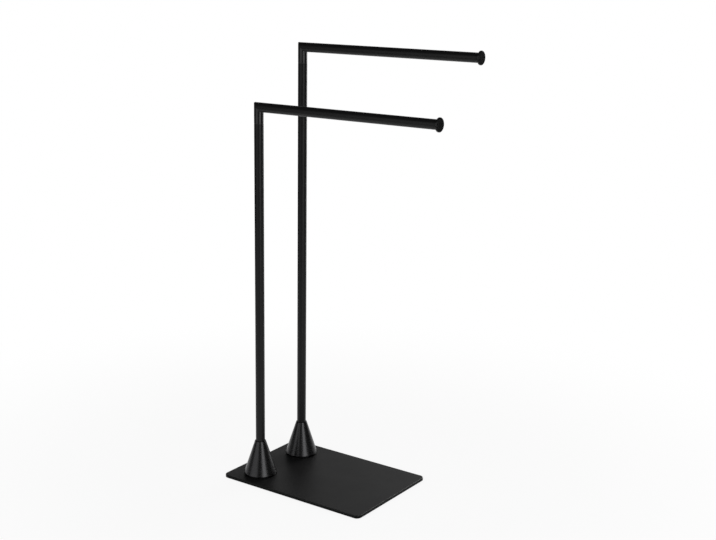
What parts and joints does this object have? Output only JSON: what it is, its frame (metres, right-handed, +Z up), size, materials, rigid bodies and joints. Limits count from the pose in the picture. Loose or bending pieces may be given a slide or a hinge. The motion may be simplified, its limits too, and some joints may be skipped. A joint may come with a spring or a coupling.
{
  "type": "freestanding towel stand",
  "caption": "Freestanding towel stand: round posts of different heights on turned cones and a flat base plate, with swivelling mitred rails that end in button caps.",
  "frame": {"origin": "on the floor under the middle of the base plate, in the face that the stand rests on", "axes": "+Z up; +X along the rails, away from the posts; +Y from the front post to the rear post"},
  "size_m": [0.4738, 0.244, 0.8985],
  "materials": {
    "powder_coat": "satin black powder coat with a fine grain",
    "black_anodised": "turned and anodised black, fine rings, silky sheen",
    "black_nylon": "matt black nylon",
    "liner_rubber": "matt black foamed rubber sheet",
    "plain_steel": "turned steel, zinc plated",
    "sleeve_brass": "turned brass"
  },
  "bodies": {
    "stand": {"base_liner": "liner_rubber", "base_plate": "powder_coat", "front_seat_washer": "black_nylon", "front_cone": "black_anodised", "front_post": "powder_coat", "front_foot_plug": "plain_steel", "front_foot_screw": "plain_steel", "front_pivot": "plain_steel", "front_thrust_washer": "black_nylon", "rear_seat_washer": "black_nylon", "rear_cone": "black_anodised", "rear_post": "powder_coat", "rear_foot_plug": "plain_steel", "rear_foot_screw": "plain_steel", "rear_pivot": "plain_steel", "rear_thrust_washer": "black_nylon"},
    "front_arm": {"front_leg": "powder_coat", "front_rail": "powder_coat", "front_end_cap": "powder_coat", "front_swivel_sleeve": "sleeve_brass", "front_stop_screw": "plain_steel"},
    "rear_arm": {"rear_leg": "powder_coat", "rear_rail": "powder_coat", "rear_end_cap": "powder_coat", "rear_swivel_sleeve": "sleeve_brass", "rear_stop_screw": "plain_steel"}
  },
  "joints": [
    {"name": "front_rail_swivel", "type": "hinge", "parent": "stand", "child": "front_arm", "pos_m": [-0.115, -0.07, 0.775], "axis": [0, 0, 1], "range_deg": [-90, 75]},
    {"name": "rear_rail_swivel", "type": "hinge", "parent": "stand", "child": "rear_arm", "pos_m": [-0.115, 0.07, 0.885], "axis": [0, 0, 1], "range_deg": [-90, 90]}
  ]
}
